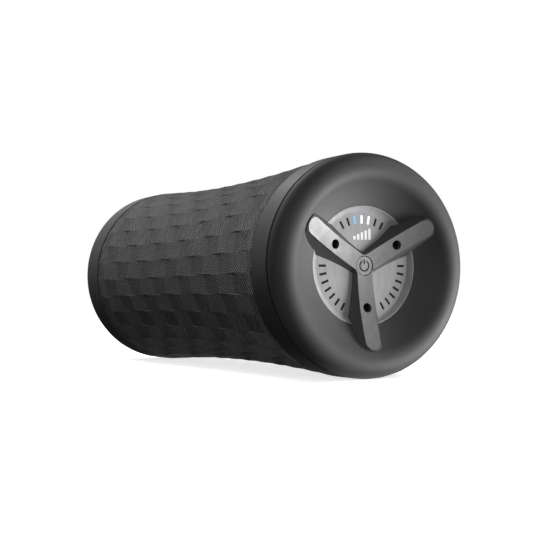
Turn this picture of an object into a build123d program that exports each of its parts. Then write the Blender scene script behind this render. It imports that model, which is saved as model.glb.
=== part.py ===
"""Vibrating foam roller: a soft sleeve on a rigid core tube, a control cap and a charging cap.

The roller lies on its side. X is the roller's axis, with the control cap at +X, and Z is up.
The origin is on the floor, under the middle of the roller. All lengths are in millimetres.
"""
import math
import os

from build123d import *

# ---- driving dimensions -------------------------------------------------------------------
LENGTH = 309.4
OUTER_RADIUS = 65.0
WAIST_RADIUS = 60.2
SLEEVE_END_RADIUS = 64.8
AXIS_HEIGHT = OUTER_RADIUS
CORE_RADIUS = 48.0
CORE_BORE = 45.0
SKIN = 2.5
SMALL_GAP = 0.05
LOOSE_GAP = 0.1

FRONT_X = LENGTH / 2
REAR_X = -LENGTH / 2
CAP_JOINT_X = FRONT_X - 9.85
COLLAR_WIDTH = 17.55
FRONT_GASKET_WIDTH = 1.9
REAR_GASKET_WIDTH = 1.0
GASKET_RADIUS = 63.7
REAR_CAP_DEPTH = 27.05

# Front cap outline, as distances from the axis and along it
RIM_RADIUS = 9.5
RIM_TURN = 45.0
RECESS_EDGE_RADIUS = 35.0
RECESS_EDGE_X = FRONT_X - 11.85

# Dial
DISC_RADIUS = 32.6
DISC_FACE_X = FRONT_X - 14.05
DISC_THICKNESS = 1.2
BACKING_THICKNESS = 1.5
TICK_RADIUS = 26.9
TICK_LENGTH = 4.8
TICK_WIDTH = 1.4
TICK_PITCH = 10.0
TICKS_PER_SECTOR = 7
SECTOR_ANGLES = (90.0, 210.0, 330.0)

# Three-armed guard over the dial
DISH_X = FRONT_X - 11.55
DISH_RATE = 0.0042
ARM_HALF_WIDTH = 4.9
ARM_TIP_RADIUS = 48.2
ARM_DRAFT = 0.95
HUB_RADIUS = 6.4
TRIM_THICKNESS = 0.5
ARM_ANGLES = (-90.0, 30.0, 150.0)
SCREW_CIRCLE = 24.2
SCREW_HEAD_RADIUS = 2.65
SCREW_HEAD_HEIGHT = 2.0
SCREW_SHANK_RADIUS = 1.4
SCREW_HOLE_RADIUS = 1.6

# Power button
BUTTON_RADIUS = 5.55
BUTTON_HOLE_RADIUS = 5.8
BUTTON_TRAVEL = 0.6
STEM_RADIUS = 2.0

# Inside
PLATE_THICKNESS = 3.0
PLATE_RADIUS = 44.9
BULKHEAD_X = 112.0
ROD_RADIUS = 2.5
ROD_CIRCLE = 38.0
ROD_ANGLES = (0.0, 120.0, 240.0)
DUCT_RADIUS = 7.0
DUCT_CIRCLE = 33.0
DUCT_ANGLES = (60.0, 180.0, 300.0)
CELL_RADIUS = 9.2
CELL_LENGTH = 65.0
CELL_CIRCLE = 15.5
CELL_ANGLES = (45.0, 135.0, 225.0, 315.0)
CELL_START_X = 30.0
MOTOR_X = -38.0
CAN_RADIUS = 21.0
CAN_BORE = 19.5
CAN_LENGTH = 48.0
SHAFT_RADIUS = 2.5
WEIGHT_RADIUS = 16.0
WEIGHT_THICKNESS = 14.0
BOARD_X = 126.0
BOARD_THICKNESS = 1.6
BOARD_RADIUS = 38.0
WIRE_RADIUS = 1.6

ROLLER_AXIS = Axis((0, 0, AXIS_HEIGHT), (1, 0, 0))
SECTION = Plane(origin=(0, 0, AXIS_HEIGHT), x_dir=(1, 0, 0), z_dir=(0, -1, 0))

os.makedirs("parts", exist_ok=True)


def cross_plane(x):
    """The plane across the roller at x, seen from +X, with Y to the right and Z up."""
    return Plane(origin=(x, 0, AXIS_HEIGHT), x_dir=(0, 1, 0), z_dir=(1, 0, 0))


def around(radius, angle):
    """A point of a cross plane, from its distance and angle about the axis."""
    turn = math.radians(angle)
    return (radius * math.cos(turn), radius * math.sin(turn))


def around_all(radius, angles):
    return [around(radius, angle) for angle in angles]


def space_point(x, radius, angle):
    """A point of the row frame, from its place along and about the axis."""
    across, up = around(radius, angle)
    return (x, across, AXIS_HEIGHT + up)


def dish(distance):
    """X of the guard's dished face at a distance from the axis."""
    return DISH_X + DISH_RATE * distance * distance


def ring_between(x_low, x_high, inner, outer, mode=Mode.ADD):
    """A plain ring or tube about the roller's axis."""
    with BuildSketch(cross_plane(x_low)) as face:
        Circle(outer)
        if inner > 0:
            Circle(inner, mode=Mode.SUBTRACT)
    extrude(face.sketch, amount=x_high - x_low, mode=mode)


def holes_through(x_low, x_high, radius, points):
    """Round holes parallel to the axis, at points of the cross plane."""
    with BuildSketch(cross_plane(x_low)) as face:
        with Locations(*points):
            Circle(radius)
    extrude(face.sketch, amount=x_high - x_low, mode=Mode.SUBTRACT)


def pegs_between(x_low, x_high, radius, points, bore=0.0):
    """Round pegs or tubes parallel to the axis, at points of the cross plane."""
    with BuildSketch(cross_plane(x_low)) as face:
        with Locations(*points):
            Circle(radius)
            if bore > 0:
                Circle(bore, mode=Mode.SUBTRACT)
    extrude(face.sketch, amount=x_high - x_low)


def tick_bars(length, width, angles):
    """Bars that point at the axis, on the tick circle of the sketch in hand."""
    for angle in angles:
        with Locations(Location((*around(TICK_RADIUS, angle), 0), (0, 0, angle))):
            Rectangle(length, width)


# ---- soft sleeve and its core -------------------------------------------------------------
COLLAR_FRONT_X = CAP_JOINT_X - FRONT_GASKET_WIDTH / 2
COLLAR_REAR_X = COLLAR_FRONT_X - COLLAR_WIDTH
REAR_JOINT_X = REAR_X + REAR_CAP_DEPTH
SLEEVE_REAR_X = REAR_JOINT_X + REAR_GASKET_WIDTH
SLEEVE_MIDDLE_X = (COLLAR_REAR_X + SLEEVE_REAR_X) / 2

with BuildPart() as textured_sleeve:
    with BuildSketch(SECTION):
        with BuildLine():
            ThreePointArc(
                (SLEEVE_REAR_X, SLEEVE_END_RADIUS),
                (SLEEVE_MIDDLE_X, WAIST_RADIUS),
                (COLLAR_REAR_X, SLEEVE_END_RADIUS),
            )
            Polyline(
                (COLLAR_REAR_X, SLEEVE_END_RADIUS),
                (COLLAR_REAR_X, CORE_RADIUS + SMALL_GAP),
                (SLEEVE_REAR_X, CORE_RADIUS + SMALL_GAP),
                (SLEEVE_REAR_X, SLEEVE_END_RADIUS),
            )
        make_face()
    revolve(axis=ROLLER_AXIS)
textured_sleeve.part.label = "textured_sleeve"
export_step(textured_sleeve.part, "parts/textured_sleeve.step")

CORE_FRONT_X = COLLAR_REAR_X + 7.0
CORE_REAR_X = REAR_X + 13.95
with BuildPart() as core_tube:
    ring_between(CORE_REAR_X, CORE_FRONT_X, CORE_BORE, CORE_RADIUS)
    chamfer(core_tube.edges().filter_by(GeomType.CIRCLE), 0.5)
core_tube.part.label = "core_tube"
export_step(core_tube.part, "parts/core_tube.step")

# ---- front collar and gasket --------------------------------------------------------------
with BuildPart() as front_collar:
    ring_between(COLLAR_REAR_X, COLLAR_FRONT_X, OUTER_RADIUS - SKIN, OUTER_RADIUS)
    ring_between(COLLAR_REAR_X, COLLAR_REAR_X + SKIN, CORE_RADIUS + LOOSE_GAP, OUTER_RADIUS)
    ring_between(COLLAR_REAR_X, CORE_FRONT_X + SKIN, CORE_RADIUS + LOOSE_GAP, CORE_RADIUS + SKIN)
    outer_edges = front_collar.edges().filter_by(GeomType.CIRCLE)
    chamfer([e for e in outer_edges if abs(e.radius - OUTER_RADIUS) < 0.01], 0.3)
front_collar.part.label = "front_collar"
export_step(front_collar.part, "parts/front_collar.step")

with BuildPart() as front_gasket:
    ring_between(COLLAR_FRONT_X, COLLAR_FRONT_X + FRONT_GASKET_WIDTH, OUTER_RADIUS - SKIN, GASKET_RADIUS)
front_gasket.part.label = "front_gasket"
export_step(front_gasket.part, "parts/front_gasket.step")

# ---- front cap ----------------------------------------------------------------------------
RIM_CENTRE = (FRONT_X - RIM_RADIUS, OUTER_RADIUS - RIM_RADIUS)
BOWL_EDGE = (
    RIM_CENTRE[0] + RIM_RADIUS * math.cos(math.radians(RIM_TURN)),
    RIM_CENTRE[1] - RIM_RADIUS * math.sin(math.radians(RIM_TURN)),
)
RECESS_EDGE = (RECESS_EDGE_X, RECESS_EDGE_RADIUS)
BACKING_BACK_X = DISC_FACE_X - DISC_THICKNESS - BACKING_THICKNESS
FLOOR_BACK_X = BACKING_BACK_X - SKIN
RECESS_RADIUS = DISC_RADIUS + 0.2


def bowl_middle(edge, foot, side, turn):
    """The middle of the concave arc from edge to foot that leaves a lip turned by turn degrees smoothly."""
    run = side * (edge[0] - foot[0])
    rise = edge[1] - foot[1]
    sag = math.tan((math.radians(turn) - math.atan2(run, rise)) / 2) / 2
    middle_x = (edge[0] + foot[0]) / 2 - side * sag * rise
    return (middle_x, (edge[1] + foot[1]) / 2 + sag * run)


BOWL_MIDDLE = bowl_middle(BOWL_EDGE, RECESS_EDGE, 1, RIM_TURN)
RIM_START_X = COLLAR_FRONT_X + FRONT_GASKET_WIDTH
RIM_START_ANGLE = math.degrees(math.acos((RIM_START_X - RIM_CENTRE[0]) / RIM_RADIUS))

BOARD_FRONT_X = BOARD_X + BOARD_THICKNESS
SKIRT_RADIUS = CORE_BORE - 0.2
SKIRT_END_X = BOARD_FRONT_X + 0.4
SKIRT_TOP_X = RECESS_EDGE_X + 2.8
POST_RADIUS = 3.0
POST_CIRCLE = 30.0
POST_ANGLES = (0.0, 120.0, 240.0)
BOARD_SCREW_RADIUS = 1.2
SCREW_POINTS = around_all(SCREW_CIRCLE, ARM_ANGLES)
LIT_ANGLES = (100.0, 90.0, 80.0)
TICK_ANGLES = [
    sector + (step - (TICKS_PER_SECTOR - 1) / 2) * TICK_PITCH
    for sector in SECTOR_ANGLES
    for step in range(TICKS_PER_SECTOR)
]
DARK_ANGLES = [angle for angle in TICK_ANGLES if angle not in LIT_ANGLES]
GUIDE_LENGTH = TICK_LENGTH - LOOSE_GAP
GUIDE_WIDTH = TICK_WIDTH - LOOSE_GAP

with BuildPart() as front_cap:
    with BuildSketch(SECTION):
        with BuildLine():
            CenterArc(RIM_CENTRE, RIM_RADIUS, RIM_START_ANGLE, -RIM_TURN - RIM_START_ANGLE)
            ThreePointArc(BOWL_EDGE, BOWL_MIDDLE, RECESS_EDGE)
            Polyline(
                RECESS_EDGE,
                (DISC_FACE_X, RECESS_RADIUS),
                (BACKING_BACK_X, RECESS_RADIUS),
                (BACKING_BACK_X, 2.3),
            )
            offset(amount=SKIN, side=Side.RIGHT)
        make_face()
        with Locations(((SKIRT_END_X + SKIRT_TOP_X) / 2, SKIRT_RADIUS - SKIN / 2)):
            Rectangle(SKIRT_TOP_X - SKIRT_END_X, SKIN)
    revolve(axis=ROLLER_AXIS)
    ring_between(COLLAR_FRONT_X, RIM_START_X, OUTER_RADIUS - 2 * SKIN, OUTER_RADIUS, mode=Mode.SUBTRACT)
    pegs_between(BOARD_FRONT_X, FLOOR_BACK_X + 0.5, POST_RADIUS, around_all(POST_CIRCLE, POST_ANGLES))
    post_points = around_all(POST_CIRCLE, POST_ANGLES)
    holes_through(BOARD_FRONT_X, BOARD_FRONT_X + 6.0, BOARD_SCREW_RADIUS, post_points)
    holes_through(FLOOR_BACK_X - 1.0, BACKING_BACK_X + 1.0, SCREW_HOLE_RADIUS, SCREW_POINTS)
    with BuildSketch(cross_plane(FLOOR_BACK_X - 1.0)) as guide_slots:
        tick_bars(GUIDE_LENGTH + 0.2, GUIDE_WIDTH + 0.2, LIT_ANGLES)
    extrude(guide_slots.sketch, amount=SKIN + 2.0, mode=Mode.SUBTRACT)
front_cap.part.label = "front_cap"
export_step(front_cap.part, "parts/front_cap.step")

# ---- dial ---------------------------------------------------------------------------------
DISC_BACK_X = DISC_FACE_X - DISC_THICKNESS
PAN_CLEARANCE = 0.25
PAN_WALL = 0.55
PAN_FILLET = 1.4
PAN_OUTER = (RECESS_EDGE_X, RECESS_EDGE_RADIUS - PAN_CLEARANCE)
PAN_TOP = (RECESS_EDGE_X, PAN_OUTER[1] - PAN_WALL)
PAN_FOOT = (DISC_FACE_X, DISC_RADIUS - PAN_FILLET)
PAN_MIDDLE = (DISC_FACE_X + 0.65, DISC_RADIUS + 0.2)
with BuildPart() as dial_disc:
    ring_between(DISC_BACK_X, DISC_FACE_X, 6.3, DISC_RADIUS)
    with BuildSketch(SECTION):
        with BuildLine():
            Polyline(
                PAN_FOOT,
                (DISC_BACK_X, PAN_FOOT[1]),
                (DISC_BACK_X, DISC_RADIUS),
                (DISC_FACE_X, DISC_RADIUS),
                PAN_OUTER,
                PAN_TOP,
            )
            ThreePointArc(PAN_TOP, PAN_MIDDLE, PAN_FOOT)
        make_face()
    revolve(axis=ROLLER_AXIS)
    holes_through(DISC_BACK_X, DISC_FACE_X, SCREW_HOLE_RADIUS, SCREW_POINTS)
    with BuildSketch(cross_plane(DISC_BACK_X)) as tick_slots:
        tick_bars(TICK_LENGTH, TICK_WIDTH, TICK_ANGLES)
    extrude(tick_slots.sketch, amount=DISC_THICKNESS, mode=Mode.SUBTRACT)
dial_disc.part.label = "dial_disc"
export_step(dial_disc.part, "parts/dial_disc.step")

TICK_RECESS = 0.05
with BuildPart() as dial_backing:
    ring_between(BACKING_BACK_X, DISC_BACK_X, 5.2, DISC_RADIUS)
    holes_through(BACKING_BACK_X, DISC_BACK_X, SCREW_HOLE_RADIUS, SCREW_POINTS)
    with BuildSketch(cross_plane(DISC_BACK_X)) as tick_profile:
        tick_bars(GUIDE_LENGTH, GUIDE_WIDTH, DARK_ANGLES)
    extrude(tick_profile.sketch, amount=DISC_THICKNESS - TICK_RECESS)
    with BuildSketch(cross_plane(BACKING_BACK_X)) as backing_slots:
        tick_bars(GUIDE_LENGTH + 0.2, GUIDE_WIDTH + 0.2, LIT_ANGLES)
    extrude(backing_slots.sketch, amount=BACKING_THICKNESS, mode=Mode.SUBTRACT)
dial_backing.part.label = "dial_backing"
export_step(dial_backing.part, "parts/dial_backing.step")

LED_HEIGHT = 0.8
GUIDE_START_X = BOARD_FRONT_X + LED_HEIGHT + 0.2


def light_guide_bars(angles):
    """Clear bars that carry light from the board to the face of the dial."""
    with BuildSketch(cross_plane(GUIDE_START_X)) as bars:
        tick_bars(GUIDE_LENGTH, GUIDE_WIDTH, angles)
    extrude(bars.sketch, amount=DISC_FACE_X - GUIDE_START_X)


with BuildPart() as mode_light_guide:
    light_guide_bars(LIT_ANGLES[:1])
mode_light_guide.part.label = "mode_light_guide"
export_step(mode_light_guide.part, "parts/mode_light_guide.step")

with BuildPart() as level_light_guides:
    light_guide_bars(LIT_ANGLES[1:])
level_light_guides.part.label = "level_light_guides"
export_step(level_light_guides.part, "parts/level_light_guides.step")

MARK_BASE = 15.2
MARK_PITCH = 2.6
MARK_WIDTH = 1.6
MARK_HEIGHTS = (2.0, 3.1, 4.2, 5.3, 6.4)
MARK_THICKNESS = 0.15
mark_middle = (len(MARK_HEIGHTS) - 1) / 2
with BuildPart() as level_mark:
    with BuildSketch(cross_plane(DISC_FACE_X)):
        for step, height in enumerate(MARK_HEIGHTS):
            with Locations(((step - mark_middle) * MARK_PITCH, MARK_BASE + height / 2)):
                Rectangle(MARK_WIDTH, height)
    extrude(amount=MARK_THICKNESS)
level_mark.part.label = "level_mark"
export_step(level_mark.part, "parts/level_mark.step")

# ---- three-armed guard --------------------------------------------------------------------
GUARD_REACH = 55.0
GUARD_GAP = 0.1
HEAD_SEAT_X = DISC_FACE_X + 0.4
HEAD_POCKET_RADIUS = SCREW_HEAD_RADIUS + 0.1
ARM_ROOT_X = DISC_FACE_X - 1.0
ARM_NOSE_CENTRE = ARM_TIP_RADIUS - ARM_HALF_WIDTH


def arm_section(distance):
    """The wedge across one arm, standing on a plane at a distance down from the axis."""
    top = dish(distance) - TRIM_THICKNESS
    foot = ARM_HALF_WIDTH + ARM_DRAFT * (top - ARM_ROOT_X)
    plane = Plane(origin=(0, 0, AXIS_HEIGHT - distance), x_dir=(0, 1, 0), z_dir=(0, 0, -1))
    with BuildSketch(plane) as wedge:
        Polygon(
            (-foot, ARM_ROOT_X),
            (foot, ARM_ROOT_X),
            (ARM_HALF_WIDTH, top),
            (ARM_HALF_WIDTH, top + 1.0),
            (-ARM_HALF_WIDTH, top + 1.0),
            (-ARM_HALF_WIDTH, top),
            align=None,
        )
    return wedge.sketch


def nose_section(x):
    """The rounded outline that the end of an arm keeps to, wider with depth."""
    radius = ARM_HALF_WIDTH + ARM_DRAFT * (dish(ARM_TIP_RADIUS) - x)
    start = -30.0
    middle = (start + ARM_NOSE_CENTRE) / 2
    with BuildSketch(cross_plane(x)) as outline:
        with Locations(Location((0, -middle, 0), (0, 0, 90))):
            SlotCenterToCenter(ARM_NOSE_CENTRE - start, 2 * radius)
    return outline.sketch


def space_above_guard():
    """The section of everything in front of the underside of the dished trim."""
    with BuildSketch(SECTION) as region:
        with BuildLine():
            Polyline(
                (dish(GUARD_REACH) - TRIM_THICKNESS, GUARD_REACH),
                (FRONT_X + 10.0, GUARD_REACH),
                (FRONT_X + 10.0, 0),
                (DISH_X - TRIM_THICKNESS, 0),
            )
            ThreePointArc(
                (DISH_X - TRIM_THICKNESS, 0),
                (dish(GUARD_REACH / 2) - TRIM_THICKNESS, GUARD_REACH / 2),
                (dish(GUARD_REACH) - TRIM_THICKNESS, GUARD_REACH),
            )
        make_face()
    return region.sketch


def space_below_guard():
    """The section of everything behind the bowl's surface and the face of the dial."""
    with BuildSketch(SECTION) as region:
        with BuildLine():
            ThreePointArc(BOWL_EDGE, BOWL_MIDDLE, RECESS_EDGE)
            Polyline(
                RECESS_EDGE,
                (RECESS_EDGE_X, PAN_TOP[1] - GUARD_GAP),
                (DISC_FACE_X, PAN_FOOT[1] - GUARD_GAP),
                (DISC_FACE_X, 0),
                (ARM_ROOT_X - 1.0, 0),
                (ARM_ROOT_X - 1.0, GUARD_REACH + 20.0),
                (FRONT_X, GUARD_REACH + 20.0),
                (FRONT_X, BOWL_EDGE[1]),
                BOWL_EDGE,
            )
        make_face()
    return region.sketch


with BuildPart() as guard_arm:
    loft([arm_section(distance) for distance in (0.0, 13.0, 26.0, 39.0, 52.0)])
    loft([nose_section(ARM_ROOT_X), nose_section(dish(ARM_TIP_RADIUS))], mode=Mode.INTERSECT)
    revolve(space_above_guard(), axis=ROLLER_AXIS, mode=Mode.SUBTRACT)
    revolve(space_below_guard(), axis=ROLLER_AXIS, mode=Mode.SUBTRACT)

HUB_TOP_X = DISH_X - TRIM_THICKNESS
HUB_FOOT_RADIUS = HUB_RADIUS + ARM_DRAFT * (HUB_TOP_X - DISC_FACE_X)
with BuildPart() as spoke_frame:
    for turn in (0, 120, 240):
        add(guard_arm.part.rotate(ROLLER_AXIS, turn))
    with BuildSketch(cross_plane(DISC_FACE_X)):
        Circle(HUB_FOOT_RADIUS)
    with BuildSketch(cross_plane(HUB_TOP_X)):
        Circle(HUB_RADIUS)
    loft()
    ring_between(ARM_ROOT_X, FRONT_X, 0, BUTTON_HOLE_RADIUS, mode=Mode.SUBTRACT)
    holes_through(ARM_ROOT_X, FRONT_X, SCREW_HOLE_RADIUS, SCREW_POINTS)
    holes_through(HEAD_SEAT_X, FRONT_X, HEAD_POCKET_RADIUS, SCREW_POINTS)
spoke_frame.part.label = "spoke_frame"
export_step(spoke_frame.part, "parts/spoke_frame.step")

with BuildPart() as spoke_trim:
    with BuildSketch(SECTION):
        with BuildLine():
            ThreePointArc(
                (DISH_X, 0), (dish(GUARD_REACH / 2), GUARD_REACH / 2), (dish(GUARD_REACH), GUARD_REACH)
            )
            Line((dish(GUARD_REACH), GUARD_REACH), (dish(GUARD_REACH) - TRIM_THICKNESS, GUARD_REACH))
            ThreePointArc(
                (dish(GUARD_REACH) - TRIM_THICKNESS, GUARD_REACH),
                (dish(GUARD_REACH / 2) - TRIM_THICKNESS, GUARD_REACH / 2),
                (DISH_X - TRIM_THICKNESS, 0),
            )
            Line((DISH_X - TRIM_THICKNESS, 0), (DISH_X, 0))
        make_face()
    revolve(axis=ROLLER_AXIS)
    with BuildSketch(cross_plane(DISC_FACE_X)):
        Circle(HUB_RADIUS)
        for angle in ARM_ANGLES:
            with Locations(Location((*around(ARM_NOSE_CENTRE / 2, angle), 0), (0, 0, angle))):
                SlotCenterToCenter(ARM_NOSE_CENTRE, 2 * ARM_HALF_WIDTH)
        Circle(BUTTON_HOLE_RADIUS, mode=Mode.SUBTRACT)
        with Locations(*SCREW_POINTS):
            Circle(HEAD_POCKET_RADIUS, mode=Mode.SUBTRACT)
    extrude(amount=FRONT_X - DISC_FACE_X, mode=Mode.INTERSECT)
spoke_trim.part.label = "spoke_trim"
export_step(spoke_trim.part, "parts/spoke_trim.step")

SCREW_END_X = BULKHEAD_X + 5.0
SOCKET_RADIUS = 1.3
with BuildPart() as spoke_screws:
    pegs_between(SCREW_END_X, HEAD_SEAT_X, SCREW_SHANK_RADIUS, SCREW_POINTS)
    pegs_between(HEAD_SEAT_X, HEAD_SEAT_X + SCREW_HEAD_HEIGHT, SCREW_HEAD_RADIUS, SCREW_POINTS)
    with BuildSketch(cross_plane(HEAD_SEAT_X + 0.9)) as sockets:
        with Locations(*SCREW_POINTS):
            RegularPolygon(SOCKET_RADIUS, 6)
    extrude(sockets.sketch, amount=SCREW_HEAD_HEIGHT, mode=Mode.SUBTRACT)
spoke_screws.part.label = "spoke_screws"
export_step(spoke_screws.part, "parts/spoke_screws.step")

# ---- power button and its switch ----------------------------------------------------------
BUTTON_TOP_X = DISH_X - 0.15
BUTTON_BOTTOM_X = BUTTON_TOP_X - 2.8
SWITCH_HEIGHT = 3.5
SWITCH_SIZE = 6.0
SWITCH_TOP_X = BOARD_FRONT_X + SWITCH_HEIGHT
PLUNGER_RADIUS = 1.65
PLUNGER_TOP_X = SWITCH_TOP_X + 0.9
PLUNGER_BOTTOM_X = BOARD_FRONT_X + 1.6
SYMBOL_DEPTH = 0.25
SYMBOL_RADIUS = 3.0
SYMBOL_STROKE = 0.9
SYMBOL_GAP = 2.9
SYMBOL_BAR = 2.8


def power_symbol_outline():
    """An open ring with an upright bar through its gap, in the sketch in hand."""
    Circle(SYMBOL_RADIUS + SYMBOL_STROKE / 2)
    Circle(SYMBOL_RADIUS - SYMBOL_STROKE / 2, mode=Mode.SUBTRACT)
    with Locations((0, SYMBOL_RADIUS)):
        Rectangle(SYMBOL_GAP, SYMBOL_GAP, mode=Mode.SUBTRACT)
    with Locations((0, SYMBOL_RADIUS - SYMBOL_BAR / 4)):
        Rectangle(SYMBOL_STROKE, SYMBOL_BAR)


with BuildPart() as power_button:
    ring_between(BUTTON_BOTTOM_X, BUTTON_TOP_X, 0, BUTTON_RADIUS)
    fillet(power_button.edges().filter_by(GeomType.CIRCLE).sort_by(Axis.X)[-1], 0.3)
    ring_between(PLUNGER_TOP_X + SMALL_GAP, BUTTON_BOTTOM_X, 0, STEM_RADIUS)
    with BuildSketch(cross_plane(BUTTON_TOP_X - SYMBOL_DEPTH)) as symbol_groove:
        power_symbol_outline()
    extrude(symbol_groove.sketch, amount=SYMBOL_DEPTH + 1.0, mode=Mode.SUBTRACT)
power_button.part.label = "power_button"
export_step(power_button.part, "parts/power_button.step")

with BuildPart() as power_symbol:
    with BuildSketch(cross_plane(BUTTON_TOP_X - SYMBOL_DEPTH)):
        power_symbol_outline()
    extrude(amount=SYMBOL_DEPTH - 0.05)
power_symbol.part.label = "power_symbol"
export_step(power_symbol.part, "parts/power_symbol.step")

with BuildPart() as button_seal:
    ring_between(BACKING_BACK_X, BACKING_BACK_X + 1.0, STEM_RADIUS + LOOSE_GAP, 4.8)
button_seal.part.label = "button_seal"
export_step(button_seal.part, "parts/button_seal.step")

with BuildPart() as tact_switch:
    with BuildSketch(cross_plane(BOARD_FRONT_X)):
        RectangleRounded(SWITCH_SIZE, SWITCH_SIZE, 0.6)
    extrude(amount=SWITCH_HEIGHT)
    ring_between(PLUNGER_BOTTOM_X - 0.7, SWITCH_TOP_X, 0, PLUNGER_RADIUS + LOOSE_GAP, mode=Mode.SUBTRACT)
tact_switch.part.label = "tact_switch"
export_step(tact_switch.part, "parts/tact_switch.step")

with BuildPart() as switch_plunger:
    ring_between(PLUNGER_BOTTOM_X, PLUNGER_TOP_X, 0, PLUNGER_RADIUS)
switch_plunger.part.label = "switch_plunger"
export_step(switch_plunger.part, "parts/switch_plunger.step")

# ---- control board ------------------------------------------------------------------------
with BuildPart() as control_board:
    ring_between(BOARD_X, BOARD_FRONT_X, 0, BOARD_RADIUS)
    holes_through(BOARD_X, BOARD_FRONT_X, 2.2, SCREW_POINTS)
    holes_through(BOARD_X, BOARD_FRONT_X, BOARD_SCREW_RADIUS + 0.2, around_all(POST_CIRCLE, POST_ANGLES))
control_board.part.label = "control_board"
export_step(control_board.part, "parts/control_board.step")

with BuildPart() as board_screws:
    post_points = around_all(POST_CIRCLE, POST_ANGLES)
    pegs_between(BOARD_X, BOARD_X + 7.0, BOARD_SCREW_RADIUS - SMALL_GAP, post_points)
    pegs_between(BOARD_X - 1.6, BOARD_X, 2.3, post_points)
    with BuildSketch(cross_plane(BOARD_X - 1.6)) as board_screw_slots:
        with Locations(*post_points):
            Rectangle(3.0, 0.7)
            Rectangle(0.7, 3.0)
    extrude(board_screw_slots.sketch, amount=0.9, mode=Mode.SUBTRACT)
board_screws.part.label = "board_screws"
export_step(board_screws.part, "parts/board_screws.step")

with BuildPart() as indicator_leds:
    with BuildSketch(cross_plane(BOARD_FRONT_X)):
        tick_bars(2.0, 1.25, LIT_ANGLES)
    extrude(amount=LED_HEIGHT)
indicator_leds.part.label = "indicator_leds"
export_step(indicator_leds.part, "parts/indicator_leds.step")

with BuildPart() as controller_chip:
    with BuildSketch(cross_plane(BOARD_X)):
        Rectangle(7.0, 7.0)
    extrude(amount=-0.9)
controller_chip.part.label = "controller_chip"
export_step(controller_chip.part, "parts/controller_chip.step")

CONNECTOR_DEPTH = 6.0
CONNECTOR_CIRCLE = 28.5
with BuildPart() as board_connectors:
    with BuildSketch(cross_plane(BOARD_X)) as connector_bodies:
        for angle in DUCT_ANGLES:
            with Locations(Location((*around(CONNECTOR_CIRCLE, angle), 0), (0, 0, angle))):
                Rectangle(5.0, 9.0)
    extrude(connector_bodies.sketch, amount=-CONNECTOR_DEPTH)
board_connectors.part.label = "board_connectors"
export_step(board_connectors.part, "parts/board_connectors.step")

# ---- chassis: bulkheads, tie rods and spacers ---------------------------------------------
ROD_POINTS = around_all(ROD_CIRCLE, ROD_ANGLES)
DUCT_POINTS = around_all(DUCT_CIRCLE, DUCT_ANGLES)
BOSS_RADIUS = 3.4
BOSS_LENGTH = 9.0


def chassis_plate(x_low, thickness, bore):
    """A plate across the core tube, with tie-rod holes and three wire ducts."""
    ring_between(x_low, x_low + thickness, bore, PLATE_RADIUS)
    holes_through(x_low, x_low + thickness, ROD_RADIUS + SMALL_GAP, ROD_POINTS)
    holes_through(x_low, x_low + thickness, DUCT_RADIUS, DUCT_POINTS)


with BuildPart() as front_bulkhead:
    chassis_plate(BULKHEAD_X, PLATE_THICKNESS, 12.0)
    pegs_between(BULKHEAD_X, BULKHEAD_X + PLATE_THICKNESS + BOSS_LENGTH, BOSS_RADIUS, SCREW_POINTS)
    holes_through(
        SCREW_END_X - 1.0, BULKHEAD_X + 20.0, SCREW_SHANK_RADIUS + SMALL_GAP, SCREW_POINTS
    )
front_bulkhead.part.label = "front_bulkhead"
export_step(front_bulkhead.part, "parts/front_bulkhead.step")

REAR_BULKHEAD_X = -BULKHEAD_X - PLATE_THICKNESS
REAR_SCREW_END_X = REAR_BULKHEAD_X - 1.0
with BuildPart() as rear_bulkhead:
    chassis_plate(REAR_BULKHEAD_X, PLATE_THICKNESS, 12.0)
    pegs_between(REAR_BULKHEAD_X - BOSS_LENGTH, REAR_BULKHEAD_X + 1.0, BOSS_RADIUS, SCREW_POINTS)
    holes_through(
        REAR_BULKHEAD_X - 20.0, REAR_SCREW_END_X + 0.5, SCREW_SHANK_RADIUS + SMALL_GAP, SCREW_POINTS
    )
rear_bulkhead.part.label = "rear_bulkhead"
export_step(rear_bulkhead.part, "parts/rear_bulkhead.step")

ROD_END_X = BULKHEAD_X + PLATE_THICKNESS + 4.0
with BuildPart() as tie_rods:
    pegs_between(-ROD_END_X, ROD_END_X, ROD_RADIUS, ROD_POINTS)
tie_rods.part.label = "tie_rods"
export_step(tie_rods.part, "parts/tie_rods.step")

NUT_THICKNESS = 3.2
with BuildPart() as rod_nuts:
    for nut_x in (BULKHEAD_X + PLATE_THICKNESS, REAR_BULKHEAD_X - NUT_THICKNESS):
        with BuildSketch(cross_plane(nut_x)) as nut_faces:
            with Locations(*ROD_POINTS):
                RegularPolygon(4.6, 6)
                Circle(ROD_RADIUS + SMALL_GAP, mode=Mode.SUBTRACT)
        extrude(nut_faces.sketch, amount=NUT_THICKNESS)
rod_nuts.part.label = "rod_nuts"
export_step(rod_nuts.part, "parts/rod_nuts.step")

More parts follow.
